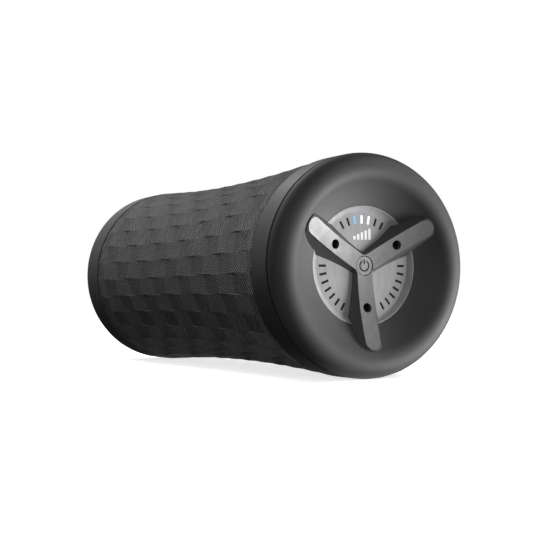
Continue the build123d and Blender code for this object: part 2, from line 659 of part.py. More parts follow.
HOLDER_THICKNESS = 6.0
MOUNT_THICKNESS = 8.0
MOUNT_STARTS = (MOTOR_X - CAN_LENGTH / 2 + 2.0, MOTOR_X + CAN_LENGTH / 2 - 2.0 - MOUNT_THICKNESS)
REAR_HOLDER_X = CELL_START_X - 2.0
FRONT_HOLDER_X = CELL_START_X + CELL_LENGTH + 2.0 - HOLDER_THICKNESS
SPACER_RUNS = (
    (REAR_BULKHEAD_X + PLATE_THICKNESS, MOUNT_STARTS[0]),
    (MOUNT_STARTS[0] + MOUNT_THICKNESS, MOUNT_STARTS[1]),
    (MOUNT_STARTS[1] + MOUNT_THICKNESS, REAR_HOLDER_X),
    (REAR_HOLDER_X + HOLDER_THICKNESS, FRONT_HOLDER_X),
    (FRONT_HOLDER_X + HOLDER_THICKNESS, BULKHEAD_X),
)
with BuildPart() as rod_spacers:
    for run_start, run_end in SPACER_RUNS:
        pegs_between(run_start, run_end, 4.3, ROD_POINTS, bore=ROD_RADIUS + SMALL_GAP)
rod_spacers.part.label = "rod_spacers"
export_step(rod_spacers.part, "parts/rod_spacers.step")

# ---- battery ------------------------------------------------------------------------------
CELL_POINTS = around_all(CELL_CIRCLE, CELL_ANGLES)
WINDOW_RADIUS = 5.5
with BuildPart() as battery_cells:
    pegs_between(CELL_START_X, CELL_START_X + CELL_LENGTH, CELL_RADIUS, CELL_POINTS)
    cell_rims = battery_cells.edges().filter_by(GeomType.CIRCLE)
    fillet(cell_rims, 0.8)
battery_cells.part.label = "battery_cells"
export_step(battery_cells.part, "parts/battery_cells.step")

with BuildPart() as cell_holders:
    for plate_x, pocket_x in ((REAR_HOLDER_X, CELL_START_X), (FRONT_HOLDER_X, FRONT_HOLDER_X)):
        chassis_plate(plate_x, HOLDER_THICKNESS, 0)
        holes_through(pocket_x, pocket_x + HOLDER_THICKNESS - 2.0, CELL_RADIUS + LOOSE_GAP, CELL_POINTS)
        holes_through(plate_x, plate_x + HOLDER_THICKNESS, WINDOW_RADIUS, CELL_POINTS)
cell_holders.part.label = "cell_holders"
export_step(cell_holders.part, "parts/cell_holders.step")

LINK_THICKNESS = 0.4
LINK_LENGTH = 2 * CELL_CIRCLE * math.sin(math.radians(45)) + 10.0
with BuildPart() as cell_links:
    for plate_x, contact_x, side_turn in (
        (FRONT_HOLDER_X + HOLDER_THICKNESS, CELL_START_X + CELL_LENGTH, 90),
        (REAR_HOLDER_X - LINK_THICKNESS, REAR_HOLDER_X - LINK_THICKNESS, 0),
    ):
        with BuildSketch(cross_plane(plate_x)) as link_plates:
            for side in (-1, 1):
                centre = around(side * CELL_CIRCLE * math.cos(math.radians(45)), side_turn)
                with Locations(Location((*centre, 0), (0, 0, side_turn + 90))):
                    RectangleRounded(LINK_LENGTH, 8.0, 2.0)
        extrude(link_plates.sketch, amount=LINK_THICKNESS)
        pegs_between(contact_x, contact_x + 2.0 + LINK_THICKNESS, 3.5, CELL_POINTS)
cell_links.part.label = "cell_links"
export_step(cell_links.part, "parts/cell_links.step")

PACK_BOARD_HEIGHT = CELL_CIRCLE * math.sin(math.radians(45)) + CELL_RADIUS + SMALL_GAP
PACK_BOARD_FRONT_X = FRONT_HOLDER_X - 3.0
with BuildPart() as protection_board:
    with BuildSketch(Plane.XY.offset(AXIS_HEIGHT + PACK_BOARD_HEIGHT)):
        with Locations((PACK_BOARD_FRONT_X - 24.0, 0)):
            Rectangle(48.0, 26.0)
    extrude(amount=1.2)
    with BuildSketch(Plane.XY.offset(AXIS_HEIGHT + PACK_BOARD_HEIGHT + 1.2)):
        with Locations((PACK_BOARD_FRONT_X - 30.0, -5.0), (PACK_BOARD_FRONT_X - 20.0, -5.0)):
            Rectangle(6.0, 5.0)
        with Locations((PACK_BOARD_FRONT_X - 36.0, 5.0)):
            Rectangle(4.0, 4.0)
    extrude(amount=1.0)
protection_board.part.label = "protection_board"
export_step(protection_board.part, "parts/protection_board.step")

# ---- motor --------------------------------------------------------------------------------
CAN_REAR_X = MOTOR_X - CAN_LENGTH / 2
CAN_FRONT_X = MOTOR_X + CAN_LENGTH / 2
BELL_THICKNESS = 3.0
BEARING_WIDTH = 5.0
BEARING_RADIUS = 8.0
BEARING_SEAT_DEPTH = 0.5
MAGNET_BORE = 16.5
MAGNET_SPAN = 130.0
CORE_ROTOR_RADIUS = 15.7
POLE_COUNT = 5
POLE_ANGLES = [90.0 + 360.0 / POLE_COUNT * step for step in range(POLE_COUNT)]
STACK_LENGTH = 28.0
STACK_REAR_X = MOTOR_X - STACK_LENGTH / 2

with BuildPart() as motor_mounts:
    for mount_x in MOUNT_STARTS:
        chassis_plate(mount_x, MOUNT_THICKNESS, CAN_RADIUS + 2.5)
motor_mounts.part.label = "motor_mounts"
export_step(motor_mounts.part, "parts/motor_mounts.step")

with BuildPart() as isolator_rings:
    for mount_x in MOUNT_STARTS:
        ring_between(mount_x, mount_x + MOUNT_THICKNESS, CAN_RADIUS + 0.03, CAN_RADIUS + 2.47)
isolator_rings.part.label = "isolator_rings"
export_step(isolator_rings.part, "parts/isolator_rings.step")

with BuildPart() as motor_can:
    ring_between(CAN_REAR_X, CAN_FRONT_X, CAN_BORE, CAN_RADIUS)
motor_can.part.label = "motor_can"
export_step(motor_can.part, "parts/motor_can.step")

with BuildPart() as motor_magnets:
    with BuildSketch(cross_plane(MOTOR_X - 17.0)):
        Circle(CAN_BORE - LOOSE_GAP)
        Circle(MAGNET_BORE, mode=Mode.SUBTRACT)
        half_gap = (180.0 - MAGNET_SPAN) / 2
        for gap_angle in (90.0, 270.0):
            corners = around_all(2 * CAN_RADIUS, (gap_angle - half_gap, gap_angle + half_gap))
            Polygon((0, 0), *corners, align=None, mode=Mode.SUBTRACT)
    extrude(amount=34.0)
motor_magnets.part.label = "motor_magnets"
export_step(motor_magnets.part, "parts/motor_magnets.step")


def end_bell(outer_x, direction):
    """A motor end bell with its bearing boss. direction points out of the motor along X."""
    plane = cross_plane(outer_x)
    with BuildSketch(plane) as disc:
        Circle(CAN_RADIUS)
    extrude(disc.sketch, amount=direction * BELL_THICKNESS)
    with BuildSketch(plane) as boss:
        Circle(BEARING_RADIUS + 2.4)
    extrude(boss.sketch, amount=direction * (BEARING_SEAT_DEPTH + BEARING_WIDTH))
    with BuildSketch(plane.offset(direction * BEARING_SEAT_DEPTH)) as seat:
        Circle(BEARING_RADIUS + 0.02)
    extrude(seat.sketch, amount=direction * (BEARING_WIDTH + 1.0), mode=Mode.SUBTRACT)
    with BuildSketch(plane) as shaft_hole:
        Circle(BEARING_RADIUS - 1.2)
    extrude(shaft_hole.sketch, amount=direction * BELL_THICKNESS, mode=Mode.SUBTRACT)


with BuildPart() as front_end_bell:
    end_bell(CAN_FRONT_X, 1)
front_end_bell.part.label = "front_end_bell"
export_step(front_end_bell.part, "parts/front_end_bell.step")

with BuildPart() as rear_end_bell:
    end_bell(CAN_REAR_X, -1)
    with BuildSketch(cross_plane(CAN_REAR_X - BELL_THICKNESS)) as terminal_slots:
        with Locations(*around_all(16.0, (60.0, 120.0))):
            Rectangle(3.2, 1.2)
    extrude(terminal_slots.sketch, amount=BELL_THICKNESS, mode=Mode.SUBTRACT)
rear_end_bell.part.label = "rear_end_bell"
export_step(rear_end_bell.part, "parts/rear_end_bell.step")

WEIGHT_STARTS = (CAN_FRONT_X + 8.0, CAN_REAR_X - 8.0 - WEIGHT_THICKNESS)
SHAFT_ENDS = (WEIGHT_STARTS[1] - 2.0, WEIGHT_STARTS[0] + WEIGHT_THICKNESS + 2.0)
FIT_GAP = 0.01
with BuildPart() as motor_shaft:
    ring_between(SHAFT_ENDS[0], SHAFT_ENDS[1], 0, SHAFT_RADIUS)
    chamfer(motor_shaft.edges().filter_by(GeomType.CIRCLE), 0.4)
motor_shaft.part.label = "motor_shaft"
export_step(motor_shaft.part, "parts/motor_shaft.step")

TOOTH_WIDTH = 4.0
TIP_INNER_RADIUS = 13.0
SLOT_MOUTH = 2.6
with BuildPart() as armature_core:
    with BuildSketch(cross_plane(STACK_REAR_X)):
        Circle(CORE_ROTOR_RADIUS)
        Circle(TIP_INNER_RADIUS, mode=Mode.SUBTRACT)
        for angle in POLE_ANGLES:
            with Locations(Location((*around(14.5, angle + 180.0 / POLE_COUNT), 0), (0, 0, angle + 36.0))):
                Rectangle(5.0, SLOT_MOUTH, mode=Mode.SUBTRACT)
            with Locations(Location((*around(7.0, angle), 0), (0, 0, angle))):
                Rectangle(13.0, TOOTH_WIDTH)
        Circle(5.8)
        Circle(SHAFT_RADIUS + FIT_GAP, mode=Mode.SUBTRACT)
    extrude(amount=STACK_LENGTH)
armature_core.part.label = "armature_core"
export_step(armature_core.part, "parts/armature_core.step")

COIL_THICKNESS = 1.4
with BuildPart() as armature_windings:
    for angle in POLE_ANGLES:
        centre = Location((*around(9.3, angle), 0), (0, 0, angle))
        with BuildSketch(cross_plane(STACK_REAR_X - COIL_THICKNESS)) as coil:
            with Locations(centre):
                Rectangle(6.2, TOOTH_WIDTH + 2 * COIL_THICKNESS)
        extrude(coil.sketch, amount=STACK_LENGTH + 2 * COIL_THICKNESS)
        with BuildSketch(cross_plane(STACK_REAR_X - SMALL_GAP)) as coil_opening:
            with Locations(centre):
                Rectangle(8.0, TOOTH_WIDTH + 2 * SMALL_GAP)
        extrude(coil_opening.sketch, amount=STACK_LENGTH + 2 * SMALL_GAP, mode=Mode.SUBTRACT)
armature_windings.part.label = "armature_windings"
export_step(armature_windings.part, "parts/armature_windings.step")

COMMUTATOR_RADIUS = 5.5
COMMUTATOR_X = CAN_REAR_X + 1.5
COMMUTATOR_LENGTH = 6.0
with BuildPart() as commutator:
    ring_between(COMMUTATOR_X, COMMUTATOR_X + COMMUTATOR_LENGTH, SHAFT_RADIUS + FIT_GAP, COMMUTATOR_RADIUS)
    with BuildSketch(cross_plane(COMMUTATOR_X)) as segment_cuts:
        for angle in POLE_ANGLES:
            with Locations(Location((*around(COMMUTATOR_RADIUS, angle), 0), (0, 0, angle))):
                Rectangle(2.0, 0.4)
    extrude(segment_cuts.sketch, amount=COMMUTATOR_LENGTH, mode=Mode.SUBTRACT)
commutator.part.label = "commutator"
export_step(commutator.part, "parts/commutator.step")

BRUSH_WIDTH = 4.0
BRUSH_START = COMMUTATOR_RADIUS + LOOSE_GAP
BRUSH_LENGTH = 5.5
BRUSH_X = COMMUTATOR_X + 1.0
BRUSH_DEPTH = 4.0
BRUSH_CENTRES = [(0, side * (BRUSH_START + BRUSH_LENGTH / 2)) for side in (-1, 1)]
with BuildPart() as motor_brushes:
    with BuildSketch(cross_plane(BRUSH_X)):
        with Locations(*BRUSH_CENTRES):
            Rectangle(BRUSH_WIDTH, BRUSH_LENGTH)
    extrude(amount=BRUSH_DEPTH)
motor_brushes.part.label = "motor_brushes"
export_step(motor_brushes.part, "parts/motor_brushes.step")

with BuildPart() as brush_carrier:
    ring_between(CAN_REAR_X + 0.1, CAN_REAR_X + 1.3, 7.0, CAN_BORE - LOOSE_GAP)
    with BuildSketch(cross_plane(CAN_REAR_X + 1.3)) as guide_blocks:
        with Locations(*[(0, side * 9.9) for side in (-1, 1)]):
            Rectangle(BRUSH_WIDTH + 2.4, 5.4)
    extrude(guide_blocks.sketch, amount=BRUSH_DEPTH + 3.0)
    with BuildSketch(cross_plane(BRUSH_X - SMALL_GAP)) as brush_channels:
        with Locations(*BRUSH_CENTRES):
            Rectangle(BRUSH_WIDTH + LOOSE_GAP, 14.0)
    extrude(brush_channels.sketch, amount=BRUSH_DEPTH + LOOSE_GAP, mode=Mode.SUBTRACT)
brush_carrier.part.label = "brush_carrier"
export_step(brush_carrier.part, "parts/brush_carrier.step")

# ---- bearings -----------------------------------------------------------------------------
BALL_RADIUS = 1.38
GROOVE_RADIUS = 1.42
BALL_CIRCLE = 5.2
BALL_COUNT = 7
BEARING_STARTS = (
    CAN_FRONT_X + BEARING_SEAT_DEPTH,
    CAN_REAR_X - BEARING_SEAT_DEPTH - BEARING_WIDTH,
)


def race_groove(x_middle):
    """The ball track, cut from a race."""
    with BuildSketch(SECTION) as track:
        with Locations((x_middle, BALL_CIRCLE)):
            Circle(GROOVE_RADIUS)
    revolve(track.sketch, axis=ROLLER_AXIS, mode=Mode.SUBTRACT)


def ball_points(x_middle):
    return [space_point(x_middle, BALL_CIRCLE, 360.0 / BALL_COUNT * step) for step in range(BALL_COUNT)]


with BuildPart() as bearing_outer_races:
    for race_x in BEARING_STARTS:
        ring_between(race_x, race_x + BEARING_WIDTH, 6.2, BEARING_RADIUS)
        race_groove(race_x + BEARING_WIDTH / 2)
bearing_outer_races.part.label = "bearing_outer_races"
export_step(bearing_outer_races.part, "parts/bearing_outer_races.step")

with BuildPart() as bearing_inner_races:
    for race_x in BEARING_STARTS:
        ring_between(race_x, race_x + BEARING_WIDTH, SHAFT_RADIUS + FIT_GAP, 4.2)
        race_groove(race_x + BEARING_WIDTH / 2)
bearing_inner_races.part.label = "bearing_inner_races"
export_step(bearing_inner_races.part, "parts/bearing_inner_races.step")

with BuildPart() as bearing_balls:
    for race_x in BEARING_STARTS:
        with Locations(*ball_points(race_x + BEARING_WIDTH / 2)):
            Sphere(BALL_RADIUS)
bearing_balls.part.label = "bearing_balls"
export_step(bearing_balls.part, "parts/bearing_balls.step")

with BuildPart() as bearing_cages:
    for race_x in BEARING_STARTS:
        ring_between(race_x + 0.5, race_x + BEARING_WIDTH - 0.5, 4.75, 5.65)
        for ball_centre in ball_points(race_x + BEARING_WIDTH / 2):
            outward = (0, ball_centre[1], ball_centre[2] - AXIS_HEIGHT)
            with BuildSketch(Plane(origin=ball_centre, z_dir=outward)) as pocket:
                Circle(BALL_RADIUS + 0.04)
            extrude(pocket.sketch, amount=1.0, both=True, mode=Mode.SUBTRACT)
bearing_cages.part.label = "bearing_cages"
export_step(bearing_cages.part, "parts/bearing_cages.step")

# ---- eccentric weights --------------------------------------------------------------------
WEIGHT_HUB_RADIUS = 6.5
GRUB_RADIUS = 1.5
with BuildPart() as eccentric_weights:
    for weight_x in WEIGHT_STARTS:
        with BuildSketch(cross_plane(weight_x)) as half_disc:
            Circle(WEIGHT_RADIUS)
            with Locations((0, WEIGHT_RADIUS)):
                Rectangle(3 * WEIGHT_RADIUS, 2 * WEIGHT_RADIUS, mode=Mode.SUBTRACT)
            Circle(WEIGHT_HUB_RADIUS)
            Circle(SHAFT_RADIUS + FIT_GAP, mode=Mode.SUBTRACT)
        extrude(half_disc.sketch, amount=WEIGHT_THICKNESS)
        grub_plane = Plane(origin=(weight_x + WEIGHT_THICKNESS / 2, 0, AXIS_HEIGHT), z_dir=(0, 0, 1))
        with BuildSketch(grub_plane) as grub_bore:
            Circle(GRUB_RADIUS + 0.02)
        extrude(grub_bore.sketch, amount=WEIGHT_HUB_RADIUS + 1.0, mode=Mode.SUBTRACT)
eccentric_weights.part.label = "eccentric_weights"
export_step(eccentric_weights.part, "parts/eccentric_weights.step")

with BuildPart() as grub_screws:
    for weight_x in WEIGHT_STARTS:
        start_z = AXIS_HEIGHT + SHAFT_RADIUS + SMALL_GAP
        grub_plane = Plane(origin=(weight_x + WEIGHT_THICKNESS / 2, 0, start_z), z_dir=(0, 0, 1))
        with BuildSketch(grub_plane) as grub_body:
            Circle(GRUB_RADIUS)
        extrude(grub_body.sketch, amount=3.4)
        with BuildSketch(grub_plane.offset(1.8)) as grub_socket:
            RegularPolygon(0.8, 6)
        extrude(grub_socket.sketch, amount=2.0, mode=Mode.SUBTRACT)
grub_screws.part.label = "grub_screws"
export_step(grub_screws.part, "parts/grub_screws.step")

# ---- charging cap -------------------------------------------------------------------------
REAR_RIM_RADIUS = 5.5
RIM_FLAT_END = 51.7
REAR_LIP_RADIUS = 3.0
REAR_LIP_TURN = 60.0
REAR_DISC_FACE_X = REAR_X + 14.05
REAR_FLOOR_X = REAR_DISC_FACE_X + DISC_THICKNESS
REAR_RECESS_EDGE = (REAR_X + 11.85, RECESS_EDGE_RADIUS)
PORT_WIDTH = 8.94
PORT_HEIGHT = 3.26
PORT_WALL = 0.3

with BuildPart() as rear_gasket:
    ring_between(REAR_JOINT_X, SLEEVE_REAR_X, CORE_RADIUS + LOOSE_GAP, GASKET_RADIUS)
rear_gasket.part.label = "rear_gasket"
export_step(rear_gasket.part, "parts/rear_gasket.step")

with BuildPart() as rear_cap:
    with BuildSketch(SECTION):
        with BuildLine():
            Line((REAR_JOINT_X, OUTER_RADIUS), (REAR_X + REAR_RIM_RADIUS, OUTER_RADIUS))
            CenterArc(
                (REAR_X + REAR_RIM_RADIUS, OUTER_RADIUS - REAR_RIM_RADIUS), REAR_RIM_RADIUS, 90.0, 90.0
            )
            Line((REAR_X, OUTER_RADIUS - REAR_RIM_RADIUS), (REAR_X, RIM_FLAT_END))
            rear_lip = JernArc((REAR_X, RIM_FLAT_END), (0, -1), REAR_LIP_RADIUS, REAR_LIP_TURN)
            edge = ((rear_lip @ 1).X, (rear_lip @ 1).Y)
            ThreePointArc(edge, bowl_middle(edge, REAR_RECESS_EDGE, -1, REAR_LIP_TURN), REAR_RECESS_EDGE)
            Polyline(
                REAR_RECESS_EDGE,
                (REAR_DISC_FACE_X, RECESS_RADIUS),
                (REAR_FLOOR_X, RECESS_RADIUS),
                (REAR_FLOOR_X, 7.0),
            )
            offset(amount=SKIN, side=Side.LEFT)
        make_face()
    revolve(axis=ROLLER_AXIS)
    ring_between(REAR_JOINT_X - SKIN, REAR_JOINT_X, CORE_RADIUS + LOOSE_GAP, OUTER_RADIUS - 1.0)
    ring_between(REAR_X + 7.0, REAR_JOINT_X + 1.6, SKIRT_RADIUS - SKIN, SKIRT_RADIUS)
    holes_through(REAR_FLOOR_X - 1.0, REAR_FLOOR_X + SKIN + 1.0, SCREW_HOLE_RADIUS, SCREW_POINTS)
rear_cap.part.label = "rear_cap"
export_step(rear_cap.part, "parts/rear_cap.step")

with BuildPart() as rear_disc:
    ring_between(REAR_DISC_FACE_X, REAR_FLOOR_X, 0, DISC_RADIUS)
    holes_through(REAR_DISC_FACE_X, REAR_FLOOR_X, SCREW_HOLE_RADIUS, SCREW_POINTS)
    with BuildSketch(cross_plane(REAR_DISC_FACE_X)) as port_opening:
        RectangleRounded(PORT_WIDTH + 0.3, PORT_HEIGHT + 0.3, 1.7)
    extrude(port_opening.sketch, amount=DISC_THICKNESS, mode=Mode.SUBTRACT)
rear_disc.part.label = "rear_disc"
export_step(rear_disc.part, "parts/rear_disc.step")

REAR_HEAD_HEIGHT = 1.7
with BuildPart() as rear_screws:
    pegs_between(REAR_DISC_FACE_X, REAR_SCREW_END_X, SCREW_SHANK_RADIUS, SCREW_POINTS)
    pegs_between(REAR_DISC_FACE_X - REAR_HEAD_HEIGHT, REAR_DISC_FACE_X, SCREW_HEAD_RADIUS, SCREW_POINTS)
    head_rims = rear_screws.edges().filter_by(GeomType.CIRCLE).group_by(Axis.X)[0]
    fillet(head_rims, 0.6)
    with BuildSketch(cross_plane(REAR_DISC_FACE_X - REAR_HEAD_HEIGHT)) as rear_sockets:
        with Locations(*SCREW_POINTS):
            RegularPolygon(SOCKET_RADIUS, 6)
    extrude(rear_sockets.sketch, amount=1.1, mode=Mode.SUBTRACT)
rear_screws.part.label = "rear_screws"
export_step(rear_screws.part, "parts/rear_screws.step")

PORT_START_X = REAR_DISC_FACE_X + 0.2
PORT_LENGTH = 7.6
with BuildPart() as charge_receptacle:
    with BuildSketch(cross_plane(PORT_START_X)):
        RectangleRounded(PORT_WIDTH, PORT_HEIGHT, 1.5)
    extrude(amount=PORT_LENGTH)
    with BuildSketch(cross_plane(PORT_START_X)) as port_hollow:
        RectangleRounded(PORT_WIDTH - 2 * PORT_WALL, PORT_HEIGHT - 2 * PORT_WALL, 1.2)
    extrude(port_hollow.sketch, amount=PORT_LENGTH - PORT_WALL, mode=Mode.SUBTRACT)
charge_receptacle.part.label = "charge_receptacle"
export_step(charge_receptacle.part, "parts/charge_receptacle.step")

TONGUE_WIDTH = 6.7
with BuildPart() as charge_tongue:
    with BuildSketch(cross_plane(PORT_START_X + 1.2)):
        Rectangle(TONGUE_WIDTH, 0.7)
    extrude(amount=PORT_LENGTH - PORT_WALL - 1.2)
charge_tongue.part.label = "charge_tongue"
export_step(charge_tongue.part, "parts/charge_tongue.step")

SOCKET_BLOCK_X = REAR_FLOOR_X + SKIN
with BuildPart() as charge_bracket:
    with BuildSketch(cross_plane(REAR_FLOOR_X + LOOSE_GAP)):
        Circle(6.9)
    extrude(amount=SKIN)
    with BuildSketch(cross_plane(SOCKET_BLOCK_X)):
        RectangleRounded(24.0, 14.0, 3.0)
    extrude(amount=3.4)
    with BuildSketch(cross_plane(REAR_FLOOR_X)) as bracket_opening:
        RectangleRounded(PORT_WIDTH + LOOSE_GAP, PORT_HEIGHT + LOOSE_GAP, 1.5)
    extrude(bracket_opening.sketch, amount=12.0, mode=Mode.SUBTRACT)
charge_bracket.part.label = "charge_bracket"
export_step(charge_bracket.part, "parts/charge_bracket.step")

# ---- wires --------------------------------------------------------------------------------
CONNECTOR_BACK_X = BOARD_X - CONNECTOR_DEPTH


def wire(points, radii):
    """A round wire along straight runs joined by tangent arcs, whose length is printed."""
    with BuildLine() as route:
        centre_line = FilletPolyline(*points, radius=radii)
    with BuildSketch(Plane(origin=centre_line @ 0, z_dir=centre_line % 0)) as section:
        Circle(WIRE_RADIUS)
    swept = sweep(section.sketch, path=route.line)
    expected = math.pi * WIRE_RADIUS**2 * centre_line.length
    print(f"wire {centre_line.length:.1f} mm, volume {swept.volume:.1f} of {expected:.1f}")


with BuildPart() as motor_lead:
    wire(
        [
            space_point(CAN_REAR_X - BELL_THICKNESS - 2.2, 11.5, 60),
            space_point(CAN_REAR_X - BELL_THICKNESS - 2.2, DUCT_CIRCLE, 60),
            space_point(BULKHEAD_X - 6.0, DUCT_CIRCLE, 60),
            space_point(BULKHEAD_X + 4.0, CONNECTOR_CIRCLE, 60),
            space_point(CONNECTOR_BACK_X, CONNECTOR_CIRCLE, 60),
        ],
        [14.0, 8.0, 5.0],
    )
motor_lead.part.label = "motor_lead"
export_step(motor_lead.part, "parts/motor_lead.step")

with BuildPart() as charge_lead:
    wire(
        [
            space_point(PORT_START_X + PORT_LENGTH + SMALL_GAP, 0, 300),
            space_point(PORT_START_X + PORT_LENGTH + 9.0, 0, 300),
            space_point(REAR_BULKHEAD_X - 2.0, DUCT_CIRCLE, 300),
            space_point(BULKHEAD_X - 6.0, DUCT_CIRCLE, 300),
            space_point(BULKHEAD_X + 4.0, CONNECTOR_CIRCLE, 300),
            space_point(CONNECTOR_BACK_X, CONNECTOR_CIRCLE, 300),
        ],
        [6.0, 14.0, 8.0, 5.0],
    )
charge_lead.part.label = "charge_lead"
export_step(charge_lead.part, "parts/charge_lead.step")

PACK_WIRE_X = PACK_BOARD_FRONT_X - 22.0
with BuildPart() as battery_lead:
    wire(
        [
            (PACK_WIRE_X, -13.0 - SMALL_GAP, AXIS_HEIGHT + PACK_BOARD_HEIGHT + WIRE_RADIUS),
            (PACK_WIRE_X, -25.0, AXIS_HEIGHT + PACK_BOARD_HEIGHT + WIRE_RADIUS),
            (PACK_WIRE_X + 8.0, -DUCT_CIRCLE, AXIS_HEIGHT),
            (BULKHEAD_X - 6.0, -DUCT_CIRCLE, AXIS_HEIGHT),
            (BULKHEAD_X + 4.0, -CONNECTOR_CIRCLE, AXIS_HEIGHT),
            (CONNECTOR_BACK_X, -CONNECTOR_CIRCLE, AXIS_HEIGHT),
        ],
        [8.0, 8.0, 8.0, 5.0],
    )
battery_lead.part.label = "battery_lead"
export_step(battery_lead.part, "parts/battery_lead.step")
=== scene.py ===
import math

import bpy
import numpy as np
from mathutils import Matrix, Vector


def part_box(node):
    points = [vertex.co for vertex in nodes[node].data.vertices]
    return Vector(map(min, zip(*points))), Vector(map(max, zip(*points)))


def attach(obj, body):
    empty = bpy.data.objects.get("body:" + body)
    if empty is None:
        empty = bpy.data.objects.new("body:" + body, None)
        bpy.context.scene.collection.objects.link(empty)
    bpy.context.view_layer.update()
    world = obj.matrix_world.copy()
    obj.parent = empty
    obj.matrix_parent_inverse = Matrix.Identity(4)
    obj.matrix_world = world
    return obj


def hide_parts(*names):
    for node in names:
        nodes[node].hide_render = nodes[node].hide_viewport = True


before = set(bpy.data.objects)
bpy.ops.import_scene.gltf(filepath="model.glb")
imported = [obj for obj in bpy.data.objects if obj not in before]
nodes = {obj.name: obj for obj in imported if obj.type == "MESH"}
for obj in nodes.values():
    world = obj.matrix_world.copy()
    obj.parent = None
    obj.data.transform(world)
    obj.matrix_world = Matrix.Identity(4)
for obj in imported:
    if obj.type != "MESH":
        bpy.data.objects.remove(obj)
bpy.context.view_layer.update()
scene = bpy.context.scene

MM = 0.001
WHITE = (1.0, 1.0, 1.0)


# ---------------------------------------------------------------- shader helpers


class Shader:
    """A node material built round one Principled shader, in the row frame's own coordinates."""

    def __init__(self, name):
        self.mat = bpy.data.materials.new(name)
        self.mat.use_nodes = True
        self.tree = self.mat.node_tree
        self.tree.nodes.clear()
        self.out = self.add("ShaderNodeOutputMaterial")
        self.bsdf = self.add("ShaderNodeBsdfPrincipled")
        self.link(self.bsdf.outputs[0], self.out.inputs[0])
        self.place = self.add("ShaderNodeTexCoord").outputs["Object"]

    def add(self, kind, **settings):
        node = self.tree.nodes.new(kind)
        for key, value in settings.items():
            setattr(node, key, value)
        return node

    def link(self, a, b):
        self.tree.links.new(a, b)

    def feed(self, socket, value):
        if isinstance(value, bpy.types.NodeSocket):
            self.link(value, socket)
        else:
            socket.default_value = value

    def math(self, operation, a, b=0.0, c=0.0):
        node = self.add("ShaderNodeMath", operation=operation)
        for socket, value in zip(node.inputs, (a, b, c)):
            self.feed(socket, value)
        return node.outputs[0]

    def stretched(self, scale):
        """Object coordinates scaled per axis, so that a texture is drawn out along the small ones."""
        node = self.add("ShaderNodeMapping")
        self.link(self.place, node.inputs["Vector"])
        node.inputs["Scale"].default_value = scale
        return node.outputs[0]

    def noise(self, size, detail=3.0, rough=0.55, vector=None):
        """Soft noise whose blotches are about size metres across."""
        node = self.add("ShaderNodeTexNoise")
        self.link(vector or self.place, node.inputs["Vector"])
        node.inputs["Scale"].default_value = 1.0 / size
        node.inputs["Detail"].default_value = detail
        node.inputs["Roughness"].default_value = rough
        return node.outputs[0]

    def cells(self, size, feature="F1", vector=None):
        """Distances in a cell pattern whose cells are about size metres across."""
        node = self.add("ShaderNodeTexVoronoi", feature=feature)
        self.link(vector or self.place, node.inputs["Vector"])
        node.inputs["Scale"].default_value = 1.0 / size
        return node.outputs["Distance"]

    def span(self, value, low, high, to_low, to_high):
        """The stretch from low to high mapped to that from to_low to to_high, clamped."""
        node = self.add("ShaderNodeMapRange")
        for socket, v in zip(node.inputs, (value, low, high, to_low, to_high)):
            self.feed(socket, v)
        return node.outputs[0]

    def mix(self, factor, a, b, blend="MIX"):
        node = self.add("ShaderNodeMix", data_type="RGBA", blend_type=blend)
        self.feed(node.inputs[0], factor)
        for socket, colour in ((node.inputs[6], a), (node.inputs[7], b)):
            if isinstance(colour, bpy.types.NodeSocket):
                self.link(colour, socket)
            else:
                socket.default_value = (*colour, 1.0)
        return node.outputs[2]

    def bump(self, height, depth, strength=1.0, over=None):
        """Relief of depth metres from a height of 0 to 1, on top of another bump."""
        node = self.add("ShaderNodeBump")
        node.inputs["Strength"].default_value = strength
        node.inputs["Distance"].default_value = depth
        self.link(height, node.inputs["Height"])
        if over is not None:
            self.link(over, node.inputs["Normal"])
        return node.outputs[0]

    def finish(self, colour, rough, normal, **constants):
        """Feed the Principled shader; constants are single values on its sockets."""
        names = {
            "metal": "Metallic",
            "specular": "Specular IOR Level",
            "sheen": "Sheen Weight",
            "sheen_rough": "Sheen Roughness",
            "coat": "Coat Weight",
            "coat_rough": "Coat Roughness",
            "glow": "Emission Strength",
        }
        self.feed(self.bsdf.inputs["Base Color"], colour)
        self.feed(self.bsdf.inputs["Roughness"], rough)
        self.link(normal, self.bsdf.inputs["Normal"])
        for key, value in constants.items():
            if key == "glow_colour":
                self.bsdf.inputs["Emission Color"].default_value = (*value, 1.0)
            else:
                self.bsdf.inputs[names[key]].default_value = value
        return self.mat


def scaled(colour, factor):
    """The same colour, lighter or darker."""
    return tuple(min(1.0, c * factor) for c in colour)


def moulded(name, colour, rough=0.5, grain=0.35 * MM, depth=0.02 * MM, **constants):
    """Moulded plastic: spark-eroded grain, slow tone changes and faint handling marks."""
    s = Shader(name)
    fine = s.noise(grain, 2.0, 0.6)
    slow = s.noise(24 * MM, 3.0)
    marks = s.noise(1.0, 4.0, 0.7, s.stretched((90.0, 700.0, 260.0)))
    scuffed = s.span(marks, 0.62, 0.78, 0.0, 1.0)
    tone = s.mix(s.span(slow, 0.3, 0.7, 0.0, 1.0), scaled(colour, 0.9), scaled(colour, 1.1))
    tone = s.mix(s.math("MULTIPLY", fine, 0.3), tone, scaled(colour, 0.8))
    tone = s.mix(s.math("MULTIPLY", scuffed, 0.1), tone, scaled(colour, 1.5))
    patches = s.span(slow, 0.3, 0.7, rough - 0.05, rough + 0.05)
    shine = s.math("ADD", patches, s.math("MULTIPLY", scuffed, 0.08))
    return s.finish(tone, shine, s.bump(fine, depth), **constants)


